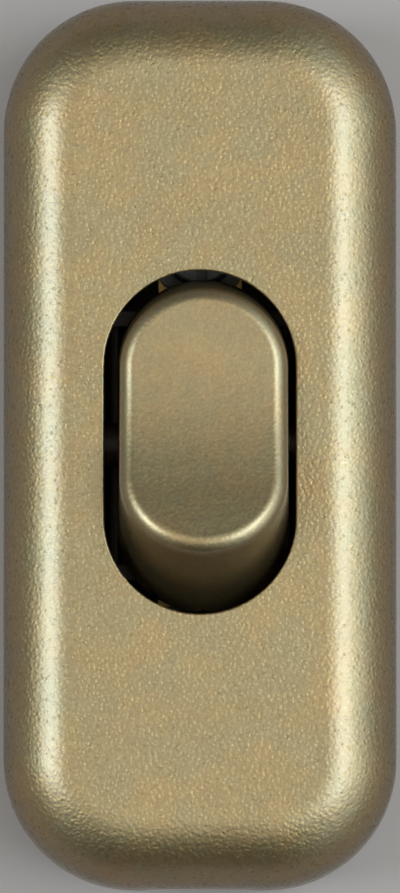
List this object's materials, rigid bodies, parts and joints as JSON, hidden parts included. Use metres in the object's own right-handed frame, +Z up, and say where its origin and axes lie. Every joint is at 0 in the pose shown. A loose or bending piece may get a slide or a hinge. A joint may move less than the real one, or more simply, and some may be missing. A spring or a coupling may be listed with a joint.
{
  "type": "inline cord switch",
  "caption": "Slim inline cord switch: rounded two-part housing with a satin gold finish, an obround opening with a rocker, and a round cord entry at each end.",
  "frame": {"origin": "under the middle of the housing, on the surface that it stands on", "axes": "+X across the housing, +Y along it towards the end where the rocker is pressed at rest, +Z up through the rocker"},
  "size_m": [0.027, 0.061, 0.0218],
  "materials": {
    "gold_lacquer": "satin metallic gold lacquer with a fine grain, over dark brown moulding",
    "brown_plastic": "dark brown moulded plastic",
    "brass": "plain machined and stamped brass",
    "bronze": "rolled bronze strip",
    "zinc_steel": "bright zinc plate",
    "spring_steel": "drawn spring wire",
    "silver": "plain silver contact",
    "ivory_acetal": "moulded acetal"
  },
  "bodies": {
    "housing": {"top_cover": "gold_lacquer", "base_cover": "gold_lacquer", "cover_inserts": "brass", "housing_screws": "zinc_steel", "common_terminal": "brass", "load_terminal": "brass", "fixed_contact_tip": "silver", "common_wire_plate": "zinc_steel", "load_wire_plate": "zinc_steel", "common_terminal_screw": "zinc_steel", "load_terminal_screw": "zinc_steel", "neutral_terminal": "brass", "earth_terminal": "brass", "neutral_terminal_screws": "zinc_steel", "earth_terminal_screws": "zinc_steel", "front_cord_clamp": "brown_plastic", "rear_cord_clamp": "brown_plastic", "front_clamp_screws": "zinc_steel", "rear_clamp_screws": "zinc_steel"},
    "rocker_button": {"rocker": "gold_lacquer", "plunger_spring": "spring_steel"},
    "plunger_pin": {"plunger": "ivory_acetal"},
    "blade": {"contact_blade": "bronze", "blade_contact_tip": "silver"}
  },
  "joints": [
    {"name": "rocker_tilt", "type": "hinge", "parent": "housing", "child": "rocker_button", "pos_m": [0, 0, 0.012], "axis": [1, 0, 0], "range_deg": [0, 20]},
    {"name": "plunger_slide", "type": "slide", "parent": "rocker_button", "child": "plunger_pin", "axis": [0, 0.1736, 0.9848], "range_m": [0, 0.0008], "stiffness_N_per_m": 300, "springref_m": -0.002, "deforming": ["plunger_spring"]},
    {"name": "blade_tilt", "type": "hinge", "parent": "housing", "child": "blade", "pos_m": [0, 0, 0.00525], "axis": [1, 0, 0], "range_deg": [-18, 0]}
  ],
  "couplings": [
    {"joint": "blade_tilt", "follows": "rocker_tilt", "ratio": -0.9}
  ]
}
